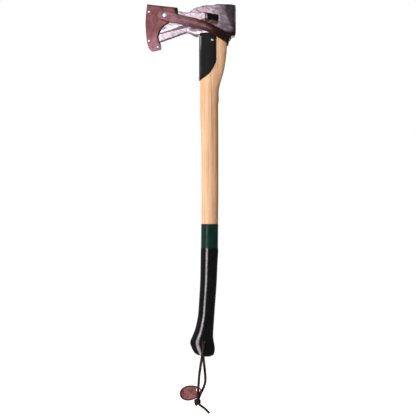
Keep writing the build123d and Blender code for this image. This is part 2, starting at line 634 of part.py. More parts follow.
def leather_tag():
    """Egg-shaped tag, its narrow end up at the lace, with one tall hole inside its rim."""
    half_long, half_high = TAG_LONG / 2, TAG_HIGH / 2
    turns = [step * pi / 6 for step in range(12)]
    egg = Spline(*[(half_long * cos(turn), half_high * sin(turn) * (1 - TAG_TAPER * cos(turn))) for turn in turns],
                 periodic=True)
    hole = Pos(TAG_HOLE_X, TAG_HOLE_Z) * Ellipse(TAG_HOLE_R - 1, TAG_HOLE_R)
    face = Pos(TAG_MID_X, TAG_MID_Z) * Rot(0, 0, TAG_TILT) * make_face(egg) - hole
    return extrude(Plane.XZ.offset(-TAG_Y - TAG_THICK / 2) * face, amount=TAG_THICK)


# ---------------------------------------------------------------- assembly
def build():
    wood = bare_handle()
    wedge, ring, bolt, screw = eye_wedge_blank(), ring_wedge(), guard_bolt(), guard_front_screw()
    hole = cross_pin(HOLE_X, HOLE_Z, HOLE_R, 30)
    rim = cross_pin(HOLE_X, HOLE_Z, HOLE_R + HOLE_RIM, 30)
    handle = wood - wedge - ring - bolt - screw - hole
    pins = rivets()
    leaf, strap, stud, socket, cap = near_leaf(), near_strap(), snap_stud(), snap_socket(), snap_cap()
    socket_room = extrude(snap_plane(-1) * Circle(SOCKET_R), amount=STRAP + 4)
    leaf, welt = leaf - pins - stud, sheath_welt() - pins
    strap = strap - socket_room - cap
    return {
        "axe_head": axe_head(),
        "handle": handle,
        "eye_wedge": wedge - ring,
        "ring_wedge": ring,
        "eye_liner": eye_liner(),
        "guard_sleeve": guard_sleeve(wood) - bolt - screw - guard_nut(),
        "guard_bolt": bolt,
        "guard_nut": guard_nut(),
        "guard_front_screw": screw,
        "green_band": green_band(wood),
        "grip_coating": grip_coating(wood) - rim,
        "strap_bight": strap_bight(),
        "sheath_near_leaf": leaf,
        "sheath_far_leaf": other_side(leaf),
        "sheath_spine": sheath_spine(),
        "sheath_welt": welt,
        "sheath_rivets": Compound(children=pins),
        "snap_stud_near": stud,
        "snap_stud_far": other_side(stud),
        "strap_near_leg": strap,
        "snap_socket_near": socket,
        "snap_cap_near": cap,
        "strap_far_leg": other_side(strap),
        "snap_socket_far": other_side(socket),
        "snap_cap_far": other_side(cap),
        "lace_in_hole": lace_in_hole(),
        "lace_near_strand": cord_tube("near strand", NEAR_ROUTE, LACE),
        "lace_far_strand": cord_tube("far strand", FAR_ROUTE, LACE),
        "lace_tail": cord_tube("tail", TAIL_ROUTE, TAIL),
        "lanyard_knot": lanyard_knot(),
        "leather_tag": leather_tag(),
    }


os.makedirs("parts", exist_ok=True)
for node, solid in build().items():
    export_step(solid, f"parts/{node}.step")
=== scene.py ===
import math
import bpy
import numpy as np
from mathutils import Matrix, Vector


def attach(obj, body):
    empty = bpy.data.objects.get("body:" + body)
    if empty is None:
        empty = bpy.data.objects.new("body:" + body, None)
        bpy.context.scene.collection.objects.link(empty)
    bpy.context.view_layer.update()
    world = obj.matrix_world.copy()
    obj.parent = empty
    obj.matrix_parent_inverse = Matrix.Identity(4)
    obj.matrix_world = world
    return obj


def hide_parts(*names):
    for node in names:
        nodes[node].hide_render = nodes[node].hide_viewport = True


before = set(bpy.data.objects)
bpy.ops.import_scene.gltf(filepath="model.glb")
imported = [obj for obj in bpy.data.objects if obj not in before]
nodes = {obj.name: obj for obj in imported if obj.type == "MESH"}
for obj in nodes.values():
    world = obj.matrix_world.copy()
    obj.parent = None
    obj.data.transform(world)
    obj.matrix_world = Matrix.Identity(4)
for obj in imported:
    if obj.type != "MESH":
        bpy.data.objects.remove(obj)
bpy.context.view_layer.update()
MM = 0.001
scene = bpy.context.scene

# ---- Camera and lamps ----
# A long lens, square to the middle of the hanging axe. A tall narrow lamp stands in front on the left and
# gives the handle its streak of light, a wide soft one stands at the left, and a weak one lights the back.
camera_data = bpy.data.cameras.new("camera")
camera_data.lens = 85
camera_data.sensor_width = 36
AXE_MIDDLE_X, AXE_MIDDLE_Z = 1.6 * MM, 208.8 * MM
CAMERA_AWAY = 2.229
camera = bpy.data.objects.new("camera", camera_data)
camera.location = (AXE_MIDDLE_X, -CAMERA_AWAY, AXE_MIDDLE_Z)
camera.rotation_euler = (math.radians(90), 0, 0)
scene.collection.objects.link(camera)
scene.camera = camera


def lamp(name, place, target, width, height, power):
    """An area lamp that looks at a point of the axe."""
    data = bpy.data.lights.new(name, "AREA")
    data.shape = "RECTANGLE"
    data.size, data.size_y, data.energy = width, height, power
    lit = bpy.data.objects.new(name, data)
    lit.location = place
    lit.rotation_euler = (Vector(target) - Vector(place)).to_track_quat("-Z", "Y").to_euler()
    scene.collection.objects.link(lit)


lamp("streak_lamp", place=(-1.05, -1.95, 0.35), target=(0, 0, 0.3), width=0.1, height=1.8, power=43)
lamp("side_lamp", place=(-2.2, -0.45, 0.75), target=(0, 0, 0.25), width=1.0, height=1.4, power=17)
lamp("back_lamp", place=(0.7, 2.3, 0.9), target=(0, 0, 0.25), width=1.2, height=1.2, power=26)
scene.view_settings.view_transform = "Standard"


def socket(tree, value, target):
    """Feed a node's output into a socket, or set the socket to a plain value."""
    if hasattr(value, "is_output"):
        tree.links.new(value, target)
    else:
        target.default_value = value


def either_ray(tree):
    """1 for what the camera sees, straight, in a gloss or through glass, and 0 for light on the axe."""
    path = tree.nodes.new("ShaderNodeLightPath")
    total = path.outputs["Is Camera Ray"]
    for ray in ("Is Glossy Ray", "Is Transmission Ray"):
        more = tree.nodes.new("ShaderNodeMath")
        more.operation = "MAXIMUM"
        tree.links.new(total, more.inputs[0])
        tree.links.new(path.outputs[ray], more.inputs[1])
        total = more.outputs[0]
    return total


# The room looks white to the camera, but lends the axe only a dim light of its own.
room = bpy.data.worlds.new("room")
scene.world = room
room.use_nodes = True
tree = room.node_tree
tree.nodes.clear()
dim, white = tree.nodes.new("ShaderNodeBackground"), tree.nodes.new("ShaderNodeBackground")
dim.inputs["Strength"].default_value, white.inputs["Strength"].default_value = 0.1, 1.0
dim.inputs["Color"].default_value = white.inputs["Color"].default_value = (1, 1, 1, 1)
pick, sky = tree.nodes.new("ShaderNodeMixShader"), tree.nodes.new("ShaderNodeOutputWorld")
tree.links.new(either_ray(tree), pick.inputs["Fac"])
tree.links.new(dim.outputs[0], pick.inputs[1])
tree.links.new(white.outputs[0], pick.inputs[2])
tree.links.new(pick.outputs[0], sky.inputs["Surface"])

# ---- Floor ----
# A plain pale floor, well below the hanging axe. It shows white, a little less so round the middle, where
# the shadow falls.
bpy.ops.object.select_all(action="DESELECT")
FLOOR_Z, FLOOR_RADIUS = -0.62, 40
bpy.ops.mesh.primitive_circle_add(vertices=64, radius=FLOOR_RADIUS, fill_type="NGON",
                                  location=(0, 0, FLOOR_Z))
floor = bpy.context.object
floor.name = "floor"
bpy.ops.object.transform_apply()
pale = bpy.data.materials.new("pale_floor")
pale.use_nodes = True
tree = pale.node_tree
tree.nodes.clear()
place = tree.nodes.new("ShaderNodeTexCoord")
away = tree.nodes.new("ShaderNodeVectorMath")
away.operation = "LENGTH"
tree.links.new(place.outputs["Object"], away.inputs[0])
rise = tree.nodes.new("ShaderNodeMapRange")
for key, value in (("From Min", 0.8), ("From Max", 2.2), ("To Min", 0.55), ("To Max", 0.92)):
    rise.inputs[key].default_value = value
tree.links.new(away.outputs["Value"], rise.inputs["Value"])
share = tree.nodes.new("ShaderNodeMath")
share.operation = "MULTIPLY"
tree.links.new(rise.outputs["Result"], share.inputs[0])
tree.links.new(either_ray(tree), share.inputs[1])
paint = tree.nodes.new("ShaderNodeBsdfDiffuse")
paint.inputs["Color"].default_value = (0.85, 0.85, 0.85, 1)
glow = tree.nodes.new("ShaderNodeEmission")
tree.links.new(share.outputs[0], glow.inputs["Strength"])
both, out = tree.nodes.new("ShaderNodeAddShader"), tree.nodes.new("ShaderNodeOutputMaterial")
tree.links.new(paint.outputs[0], both.inputs[0])
tree.links.new(glow.outputs[0], both.inputs[1])
tree.links.new(both.outputs[0], out.inputs["Surface"])
floor.data.materials.append(pale)

# ---- Lanyard laces ----
# Round leather lace, looped through the hole in the knob: two strands that hang and cross below, and one
# cut tail. It is dyed a dark brown, dull all over, with fine pores.


def material(name, roughness=0.5, metallic=0.0, specular=0.5):
    """A new material with its shader's own plain settings."""
    made = bpy.data.materials.new(name)
    made.use_nodes = True
    shader = made.node_tree.nodes["Principled BSDF"]
    shader.inputs["Roughness"].default_value = roughness
    shader.inputs["Metallic"].default_value = metallic
    shader.inputs["Specular IOR Level"].default_value = specular
    return made, made.node_tree, shader


def new_group(name, inputs, outputs):
    """An empty node group with named sockets."""
    group = bpy.data.node_groups.new(name, "ShaderNodeTree")
    for label, kind, value in inputs:
        made = group.interface.new_socket(label, in_out="INPUT", socket_type=kind)
        made.default_value = value
    for label, kind in outputs:
        group.interface.new_socket(label, in_out="OUTPUT", socket_type=kind)
    return group, group.nodes.new("NodeGroupInput"), group.nodes.new("NodeGroupOutput")


def put(tree, group, **values):
    """Place a node group in a material, with its own values."""
    node = tree.nodes.new("ShaderNodeGroup")
    node.node_tree = group
    for key, value in values.items():
        socket(tree, value, node.inputs[key])
    return node


def noise(tree, vector, scale, detail=3.0, roughness=0.55):
    """Soft random clouds, from 0 to 1, this many to the metre."""
    node = tree.nodes.new("ShaderNodeTexNoise")
    for key, value in (("Vector", vector), ("Scale", scale), ("Detail", detail), ("Roughness", roughness)):
        socket(tree, value, node.inputs[key])
    return node.outputs["Fac"]


def blend_colour(tree, kind, share, first, second):
    """The second colour laid over the first. Of the node's sockets, 6 and 7 are the ones for colours."""
    node = tree.nodes.new("ShaderNodeMix")
    node.data_type = "RGBA"
    node.blend_type = kind
    node.clamp_result = True
    socket(tree, share, node.inputs[0])
    for value, target in ((first, node.inputs[6]), (second, node.inputs[7])):
        socket(tree, (*value, 1) if isinstance(value, tuple) else value, target)
    return node.outputs[2]


def calculate(tree, kind, first, second, third=0.0):
    """One sum on values that change over the surface."""
    node = tree.nodes.new("ShaderNodeMath")
    node.operation = kind
    for value, target in zip((first, second, third), node.inputs):
        socket(tree, value, target)
    return node.outputs[0]


def bump(tree, height, strength, distance):
    """Relief too fine for the mesh."""
    node = tree.nodes.new("ShaderNodeBump")
    socket(tree, height, node.inputs["Height"])
    node.inputs["Strength"].default_value = strength
    node.inputs["Distance"].default_value = distance
    return node.outputs["Normal"]


def object_place(tree):
    """Where each point lies in the axe's own frame."""
    return tree.nodes.new("ShaderNodeTexCoord").outputs["Object"]


def brushed(tree):
    """The tones that were brushed onto the piece itself."""
    node = tree.nodes.new("ShaderNodeAttribute")
    node.attribute_name = "tone"
    return node.outputs["Color"]


# Hide: pores and creases of grain leather, as a shade, a height and a gloss, at a given size of pore.
hide, hide_in, hide_out = new_group("hide_grain", [("Vector", "NodeSocketVector", (0, 0, 0)),
                                                   ("Pores", "NodeSocketFloat", 900.0)],
                                    [("Shade", "NodeSocketFloat"), ("Height", "NodeSocketFloat"),
                                     ("Gloss", "NodeSocketFloat")])
cells = hide.nodes.new("ShaderNodeTexVoronoi")
cells.feature = "DISTANCE_TO_EDGE"
hide.links.new(hide_in.outputs["Vector"], cells.inputs["Vector"])
hide.links.new(hide_in.outputs["Pores"], cells.inputs["Scale"])
pore = calculate(hide, "MINIMUM", calculate(hide, "MULTIPLY", cells.outputs["Distance"], 5.0), 1.0)
mottle = noise(hide, hide_in.outputs["Vector"], 85.0, 5.0, 0.62)
fine = noise(hide, hide_in.outputs["Vector"], 420.0, 3.0)
height = calculate(hide, "ADD", calculate(hide, "MULTIPLY", pore, 0.6),
                   calculate(hide, "MULTIPLY", fine, 0.7))
shade = calculate(hide, "ADD", calculate(hide, "MULTIPLY_ADD", mottle, 1.9, -0.04),
                  calculate(hide, "MULTIPLY_ADD", pore, 0.12, -0.01))
shade = calculate(hide, "ADD", shade, calculate(hide, "MULTIPLY_ADD", fine, 0.9, -0.45))
hide.links.new(shade, hide_out.inputs["Shade"])
hide.links.new(height, hide_out.inputs["Height"])
hide.links.new(calculate(hide, "MULTIPLY_ADD", mottle, 0.35, 0.32), hide_out.inputs["Gloss"])


def leather(name, pores, depth, specular, colour=None):
    """Leather: one colour, or with none given the tones brushed on the piece, under the hide's grain."""
    made, tree, shader = material(name, specular=specular)
    grain = put(tree, hide, Vector=object_place(tree), Pores=pores)
    lit = blend_colour(tree, "MULTIPLY", 1.0, colour or brushed(tree), grain.outputs["Shade"])
    tree.links.new(lit, shader.inputs["Base Color"])
    tree.links.new(grain.outputs["Gloss"], shader.inputs["Roughness"])
    tree.links.new(bump(tree, grain.outputs["Height"], 0.6, depth), shader.inputs["Normal"])
    return made


LACE_BROWN = (0.052, 0.022, 0.025)
LACE_PORES, LACE_RELIEF = 1400.0, 0.00012
lace_leather = leather("lace_leather", LACE_PORES, LACE_RELIEF, specular=0.0, colour=LACE_BROWN)


def lace_curve(name, route, diameter):
    """One smooth lace whose control points are the route's points."""
    data = bpy.data.curves.new(name, "CURVE")
    data.dimensions = "3D"
    data.bevel_depth = diameter / 2
    data.bevel_resolution = 5
    data.resolution_u = 10
    data.use_fill_caps = True
    spline = data.splines.new("NURBS")
    spline.points.add(len(route) - 1)
    for point, (x, y, z) in zip(spline.points, route):
        point.co = (x * MM, y * MM, z * MM, 1)
    spline.order_u = 3
    spline.use_endpoint_u = True
    data.materials.append(lace_leather)
    cord = bpy.data.objects.new(name, data)
    scene.collection.objects.link(cord)
    return cord


# The points that each lace follows, in millimetres, from the knob's hole down to the knot.
near_route = [(-8.4, -13.9, -97.05), (-8.4, -17.2, -97.05), (-8.6, -19.7, -99.65), (-9.0, -20.0, -104.65),
              (-10.0, -19.2, -113.65), (-12.2, -17.6, -129.0), (-14.6, -15.2, -143.0), (-16.8, -9.5, -158.5),
              (-18.6, -3.6, -173.0), (-19.4, 1.4, -185.4), (-20.1, 3.0, -196.4), (-21.3, -10.8, -210.6),
              (-21.9, -9.6, -219.0), (-22.2, -5.2, -227.2)]
far_route = [(-8.4, 13.9, -97.05), (-8.4, 17.2, -97.05), (-8.5, 19.7, -99.65), (-8.6, 20.0, -104.65),
             (-8.9, 19.2, -113.65), (-9.1, 18.0, -129.0), (-8.0, 16.2, -143.0), (-6.2, 12.0, -157.0),
             (-4.6, 7.4, -172.0), (-4.2, 5.0, -186.0), (-7.6, 4.4, -197.6), (-12.9, 3.8, -208.4),
             (-17.6, 2.4, -218.2), (-20.6, 0.4, -227.0)]
tail_route = [(-19.6, -2.6, -235.4), (-11.6, -3.6, -241.4), (-3.6, -2.6, -247.0), (5.0, -4.0, -256.3)]
near = lace_curve("near_lace", near_route, 0.0058)
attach(near, "lanyard")
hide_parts("lace_near_strand")
far = lace_curve("far_lace", far_route, 0.0058)
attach(far, "lanyard")
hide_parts("lace_far_strand")
tail = lace_curve("tail_lace", tail_route, 0.0054)
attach(tail, "lanyard")
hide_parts("lace_tail")

# ---- Axe head ----
# One steel forging: ground bright on the blade and on the facet behind it, scale left on the poll, painted
# shade in the hollows, and the hammer's marks behind the blade. It is wedged on the neck, with the guard
# under its lug.


def seen(red, green, blue):
    """A colour by its usual 0 to 255 numbers, as the linear light that a shader takes."""
    shares = [number / 255 for number in (red, green, blue)]
    return tuple(share / 12.92 if share < 0.0404 else ((share + 0.055) / 1.055) ** 2.4 for share in shares)


def merged_copy(name, *sources):
    """A single closed mesh from copies of CAD nodes, with their loose triangles merged."""
    bpy.ops.object.select_all(action="DESELECT")
    for source in sources:
        piece = bpy.data.objects.new(name, nodes[source].data.copy())
        scene.collection.objects.link(piece)
        piece.select_set(True)
        bpy.context.view_layer.objects.active = piece
    if len(sources) > 1:
        bpy.ops.object.join()
    piece = bpy.context.object
    piece.data.materials.clear()
    bpy.ops.object.mode_set(mode="EDIT")
    bpy.ops.mesh.select_all(action="SELECT")
    bpy.ops.mesh.remove_doubles(threshold=0.00001)
    bpy.ops.mesh.normals_make_consistent(inside=False)
    bpy.ops.object.mode_set(mode="OBJECT")
    bpy.ops.mesh.customdata_custom_splitnormals_clear()
    return piece


def shape(piece, kind, **settings):
    """Add a modifier to a piece and apply it."""
    bpy.context.view_layer.objects.active = piece
    modifier = piece.modifiers.new(kind.lower(), kind)
    for key, value in settings.items():
        setattr(modifier, key, value)
    bpy.ops.object.modifier_apply(modifier=modifier.name)


def soften(piece, voxel, passes):
    """Mesh a piece evenly and smooth it a little, so that its sharp edges turn soft."""
    shape(piece, "REMESH", mode="VOXEL", voxel_size=voxel, use_smooth_shade=True)
    shape(piece, "SMOOTH", factor=0.5, iterations=passes)


def smooth(piece, angle):
    """Shade a piece smooth, but for edges sharper than the angle."""
    bpy.ops.object.select_all(action="DESELECT")
    piece.select_set(True)
    bpy.context.view_layer.objects.active = piece
    bpy.ops.object.shade_smooth_by_angle(angle=math.radians(angle))


def surface(piece):
    """Where each point of a piece is, in millimetres, and which way it faces there."""
    data = piece.data
    place, facing = np.empty(len(data.vertices) * 3), np.empty(len(data.vertices) * 3)
    data.vertices.foreach_get("co", place)
    data.vertices.foreach_get("normal", facing)
    return (*(place.reshape(-1, 3).T / MM), *facing.reshape(-1, 3).T)


def fade(value, start, end):
    """0 up to the start, 1 from the end on, and smooth between them."""
    share = np.clip((value - start) / (end - start), 0, 1)
    return share * share * (3 - 2 * share)


def between(value, low, high, soft):
    """1 between two limits, with soft ends."""
    return fade(value, low - soft, low + soft) * (1 - fade(value, high - soft, high + soft))


def blot(x, z, middle, reach):
    """1 at the middle of a blot, seen from the side, and fading all round it."""
    return np.exp(-((x - middle[0]) / reach[0]) ** 2 - ((z - middle[1]) / reach[1]) ** 2)


def first_coat(piece, colour):
    """One colour on every point of a piece, for others to be brushed over."""
    return np.tile(np.array(colour), (len(piece.data.vertices), 1))


def brush(tones, mask, colour):
    """Lay a colour over the tones, as strongly as the mask says."""
    share = np.clip(mask, 0, 1)[:, None]
    tones[:] = tones * (1 - share) + np.array(colour) * share


def even_out(piece, tones):
    """Mix each point's tone half and half with the mean of its neighbours'."""
    ends = np.empty(len(piece.data.edges) * 2, dtype=np.int64)
    piece.data.edges.foreach_get("vertices", ends)
    one, other = ends.reshape(-1, 2).T
    size = len(tones)
    count = np.maximum(np.bincount(ends, minlength=size), 1)
    for channel in range(3):
        values = tones[:, channel]
        near_by = (np.bincount(one, weights=values[other], minlength=size) +
                   np.bincount(other, weights=values[one], minlength=size))
        tones[:, channel] = (values + near_by / count) / 2


def keep_tones(piece, tones):
    """Store the brushed colours on the piece."""
    layer = piece.data.color_attributes.new("tone", "FLOAT_COLOR", "POINT")
    layer.data.foreach_set("color", np.column_stack([tones, np.ones(len(tones))]).astype(np.float32).ravel())


def from_line(x, z, points):
    """How far each point is from a drawn line, seen from the side."""
    nearest = np.full(len(x), 1e9)
    for (x0, z0), (x1, z1) in zip(points, points[1:]):
        run, rise_up = x1 - x0, z1 - z0
        share = np.clip(((x - x0) * run + (z - z0) * rise_up) / (run * run + rise_up * rise_up), 0, 1)
        nearest = np.minimum(nearest, np.hypot(x - x0 - share * run, z - z0 - share * rise_up))
    return nearest


head = merged_copy("forged_head", "axe_head")
soften(head, voxel=0.0008, passes=3)
# The hammer's marks lie behind the blade and leave out the facet that was ground flat.
x, y, z, nx, ny, nz = surface(head)
rough = fade(x, -64, -40) * (1 - between(z, 622, 650, 3) * (1 - fade(x, -6, -2)) * fade(x, -64, -60))
marks = head.vertex_groups.new(name="forged")
for step in range(1, 11):
    band = np.nonzero(np.round(rough * 10) == step)[0].tolist()
    if band:
        marks.add(band, step / 10, "REPLACE")
hammer = bpy.data.textures.new("hammer_marks", "CLOUDS")
hammer.noise_scale = 0.007
hammer.noise_depth = 3
shape(head, "DISPLACE", texture=hammer, texture_coords="LOCAL", strength=0.0006, mid_level=1.0,
      vertex_group="forged", direction="NORMAL")
# The poll's corners are worn round, by far more smoothing there than elsewhere.
rounded = head.vertex_groups.new(name="rounded_poll")
corner = np.nonzero((x > 56) & ((z > 659) | (z < 604) | (np.abs(ny) > 0.2) & (nx > 0.1)))[0].tolist()
rounded.add(corner, 1.0, "REPLACE")
shape(head, "SMOOTH", factor=0.5, iterations=90, vertex_group="rounded_poll")
x, y, z, nx, ny, nz = surface(head)
flat = np.abs(ny)
side = fade(flat, 0.9, 0.99)
# Its tones are brushed on by place, in millimetres: x runs back from the edge to the poll, and z up.
tone = first_coat(head, seen(146, 129, 140))
# Scale on the poll, with painted shade at its rounded corners and along its top edge, and a painted highlight
# on the rim of its face.
brush(tone, fade(x, 8, 34), seen(126, 111, 119))
brush(tone, fade(x, 26, 42) * fade(z, 641, 652), seen(92, 79, 86))
brush(tone, fade(x, 20, 36) * (1 - fade(z, 622, 634)), seen(104, 90, 98))
scale_front = np.interp(z, [612, 621, 639, 653, 666], [57, 53, 44.5, 41, 40.5])
brush(tone, fade(x, scale_front - 2.6, scale_front + 2.6), seen(62, 52, 58))
brush(tone, blot(x, z, (47, 667), (5, 4)), seen(48, 38, 44))
brush(tone, blot(x, z, (40, 622), (9, 9)) * 0.6, seen(112, 98, 106))
brush(tone, fade(x, 57, 58.6), seen(42, 34, 39))
brush(tone, fade(x, 36, 44) * (1 - fade(z, 602, 613)), seen(20, 12, 14))
brush(tone, fade(x, 60.6, 61.8) * fade(z, 618, 634), seen(104, 88, 98))
brush(tone, fade(nx, 0.6, 0.9) * fade(x, 60, 62), seen(150, 134, 146))
brush(tone, fade(z, 664, 667) * fade(x, 0, 20), seen(70, 58, 66))
brush(tone, (1 - fade(x, -8, 10)) * fade(x, -50, -40) * fade(z, 646, 652), seen(116, 101, 110))
# The blade, and the beard below it, with a ridge at its top, painted shade on the wall under the ridge, and
# painted shade on the bevel at its foot, darkest along the foot.
blade = 1 - fade(x, -52, -44)
brush(tone, blade, seen(184, 170, 180))
front = 1 - fade(x, -28, -22)
SHOULDER_Z = 603
stations = [-114, -71, -45, -36, -26, -19.4]
ridge = SHOULDER_Z + np.interp(x, stations, [-1, 12, 22, 23.5, 24, 25])
wall = np.interp(x, stations, [0.6, 4.4, 8, 8, 8, 8])
foot = SHOULDER_Z + np.interp(x, stations, [-20.2, -6.6, 1.7, -1.5, -6.6, -6.6])
bevel = np.interp(x, stations, [1.5, 3.2, 4.3, 4.8, 5, 5])
beard = front * (1 - fade(z, ridge - 0.5, ridge + 0.5))
brush(tone, beard, seen(166, 152, 161))
wall_foot = ridge - wall * 0.8 - 1.2 * fade(x, -75, -53)
shaded_wall = front * between(z, wall_foot - 0.4, ridge + 1.8 - 1.2 * fade(x, -60, -50), 0.5)
shaded_wall *= 1 - fade(x, -46, -34) * 0.4
brush(tone, shaded_wall, seen(96, 78, 88))
brush(tone, beard * (1 - fade(z, foot + bevel - 0.7, foot + bevel + 0.3)) * blade, seen(108, 88, 100))
brush(tone, beard * (1 - fade(z, foot + 0.2, foot + 1.0)) * blade, seen(58, 44, 50))
# The facet ground behind the blade, up to the cheek window, and the scale left above it.
facet_top = np.interp(x, [-66, -62, -42, -28, -13, -3.4], [649, 647, 649.4, 647.2, 650.6, 649.4])
facet = (1 - fade(x, -4.2, -2.8)) * (1 - fade(z, facet_top - 0.7, facet_top + 0.7)) * fade(z, 621, 624)
brush(tone, facet, seen(152, 136, 146))
brush(tone, between(x, -62, -30, 4) * fade(z, facet_top, facet_top + 0.8), seen(128, 113, 122))
# Painted shadow under the brow, along the top of the facet.
brow = blot(x, z, (-40, 653.2), (5, 1.5))
brush(tone, brow * 1.5, seen(54, 42, 50))
# The window: painted light on its front wall, a painted reflection of the brown strap on its floor with a
# painted glint along it, and painted shade on the rest.
window = between(x, -4.6, 26, 0.4) * between(z, 633, 650.5, 0.5)
brush(tone, window * (1 - side), seen(28, 24, 27))
brush(tone, window * fade(nx, 0.5, 0.8), seen(128, 104, 126))
floor_band = between(x, -16, 24, 3) * (z < 637.5) * fade(z, 618, 622) * fade(nz, 0.12, 0.3)
brush(tone, floor_band, seen(92, 66, 58))
# Both the floor band and the oil mask paint the strap's reflection on the window's floor.
oiled = np.interp(x, [-17, -12, -2, 8, 24], [633, 635.6, 638.4, 636.5, 632.5])
oil = between(x, -16, 23, 1.5) * (1 - fade(z, oiled - 0.5, oiled + 0.5)) * fade(z, 618, 622)
brush(tone, oil, seen(96, 70, 62))
glint = from_line(x, z, [(2, 626.5), (6, 630.2), (10, 633.2), (15, 635.2)])
brush(tone, (1 - fade(glint, 0.3, 1.0)) * 0.8, seen(176, 156, 146))
# The lug: bright under the wall, painted shade in a streak across its hollow, a painted highlight on the
# ridge below, and the purple scale at its foot, with painted shade on its downward faces.
lug = between(x, -42, -14, 2)
brush(tone, lug * (1 - fade(z, 617, 620)), seen(120, 104, 113))
streak = np.exp(-((z - (614.6 - (x + 36) * 0.03)) / 1.3) ** 2) * between(x, -39, -20, 2.5)
brush(tone, streak, seen(76, 62, 70))
brush(tone, lug * between(z, 601.5, 607.5, 1.2), seen(180, 168, 176))
lug_foot = np.interp(x, [-46, -42, -34, -26, -18], [607.5, 606.5, 603, 599.8, 600.5])
brush(tone, between(x, -47, -14, 1.5) * (1 - fade(z, lug_foot - 0.8, lug_foot + 0.8)), seen(172, 142, 158))
brush(tone, between(x, -47, -20, 2) * fade(-nz, 0.35, 0.7) * (z < 606), seen(120, 96, 112))
brush(tone, between(x, -14.5, 10, 1.5) * (1 - fade(z, 606, 608)), seen(170, 156, 166))
# A blue smear of old grease on the blade, and painted shade on the top and foot of the head.
smear = blot(x, z - 0.5 * (x + 97.5), (-97.5, 615.5), (6, 2.6))
brush(tone, smear * 1.2, seen(84, 76, 100))
brush(tone, (flat < 0.5) * fade(x, -50, -40) * (np.abs(nz) > 0.8), seen(120, 104, 114))
even_out(head, tone)
keep_tones(head, tone)


def stretch(tree, vector, scale):
    """The same place with each axis scaled, which draws a pattern out along the least scaled one."""
    node = tree.nodes.new("ShaderNodeVectorMath")
    node.operation = "MULTIPLY"
    socket(tree, vector, node.inputs[0])
    node.inputs[1].default_value = scale
    return node.outputs[0]


# Bare steel: patches and pits of scale, and fine scratches from the grinding belt, at given strengths.
BELT_LEAN = math.radians(-24)
worn, worn_in, worn_out = new_group("forged_steel",
                                    [("Vector", "NodeSocketVector", (0, 0, 0)),
                                     ("Colour", "NodeSocketColor", (0.5, 0.5, 0.5, 1)),
                                     ("Patches", "NodeSocketFloat", 0.5),
                                     ("Scratches", "NodeSocketFloat", 0.5)],
                                    [("Colour", "NodeSocketColor"), ("Height", "NodeSocketFloat"),
                                     ("Gloss", "NodeSocketFloat")])
spot = worn_in.outputs["Vector"]
turned_spot = worn.nodes.new("ShaderNodeMapping")
turned_spot.inputs["Rotation"].default_value = (0, BELT_LEAN, 0)
worn.links.new(spot, turned_spot.inputs["Vector"])
patches = noise(worn, stretch(worn, turned_spot.outputs[0], (1.0, 1.0, 2.6)), 95.0, 5.0, 0.62)
pits = noise(worn, spot, 520.0, 3.0, 0.6)
belt = noise(worn, stretch(worn, turned_spot.outputs[0], (60.0, 60.0, 900.0)), 1.0, 2.0, 0.5)
shade_value = calculate(worn, "MULTIPLY_ADD", calculate(worn, "SUBTRACT", patches, 0.5), 2.2, 0.0)
shade_value = calculate(worn, "MULTIPLY", shade_value, worn_in.outputs["Patches"])
fine_value = calculate(worn, "MULTIPLY", calculate(worn, "SUBTRACT", belt, 0.5), worn_in.outputs["Scratches"])
pit_value = calculate(worn, "MULTIPLY", calculate(worn, "SUBTRACT", pits, 0.5), 0.5)
pit_value = calculate(worn, "MULTIPLY", pit_value, worn_in.outputs["Patches"])
total = calculate(worn, "ADD", calculate(worn, "ADD", shade_value, fine_value), pit_value)
worn.links.new(blend_colour(worn, "MULTIPLY", 1.0, worn_in.outputs["Colour"],
                            calculate(worn, "ADD", total, 1.0)), worn_out.inputs["Colour"])
worn.links.new(calculate(worn, "ADD", calculate(worn, "MULTIPLY", patches, 0.7), fine_value),
               worn_out.inputs["Height"])
worn.links.new(calculate(worn, "MULTIPLY_ADD", patches, 0.4, 0.2), worn_out.inputs["Gloss"])


def metal(name, patches, scratches, metallic=0.9, specular=0.5, colour=None, relief=None):
    """Metal: one colour, or with none given the tones brushed on the piece, under its wear."""
    made, tree, shader = material(name, metallic=metallic, specular=specular)
    wear = put(tree, worn, Vector=object_place(tree), Colour=(*colour, 1) if colour else brushed(tree),
               Patches=patches, Scratches=scratches)
    tree.links.new(wear.outputs["Colour"], shader.inputs["Base Color"])
    tree.links.new(wear.outputs["Gloss"], shader.inputs["Roughness"])
    if relief:
        tree.links.new(bump(tree, wear.outputs["Height"], 0.5, relief), shader.inputs["Normal"])
    return made


steel = metal("forged_steel", patches=1.2, scratches=0.5, metallic=0.8, specular=0.3, relief=0.0006)
head.data.materials.append(steel)
smooth(head, 60)
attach(head, "tool")
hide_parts("axe_head")

# ---- Sheath ----
# A mask of thick chrome-tanned leather, folded over the blade's top and cut away at its back: near leaf,
# fold and far leaf are one hide. Its edges are dyed black, and a welt keeps the edge off the rivets.
CUT_LINE = [(-66.3, 649), (-74.5, 640.2), (-83, 630.4), (-90.5, 624.6), (-97.4, 620.6), (-102.3, 615.8),
            (-106.1, 610.4), (-108.9, 605), (-110.4, 599.2), (-110.7, 594), (-109.8, 589), (-107.6, 584.4),
            (-105, 580.4)]
STRAP_SHADOW_LINE = [(-107.5, 638.6), (-104.5, 634.6), (-97, 632), (-88.2, 629.6)]
mask = merged_copy("sheath_hide", "sheath_near_leaf", "sheath_far_leaf", "sheath_spine")
soften(mask, voxel=0.0008, passes=3)
x, y, z, nx, ny, nz = surface(mask)
flat = np.abs(ny)
tone = first_coat(mask, seen(132, 81, 83))
FOLD_FRONT_X, FOLD_FRONT_Z, FOLD_SLOPE = -136.2, 670.6, -0.129
fold = FOLD_FRONT_Z + (x - FOLD_FRONT_X) * FOLD_SLOPE
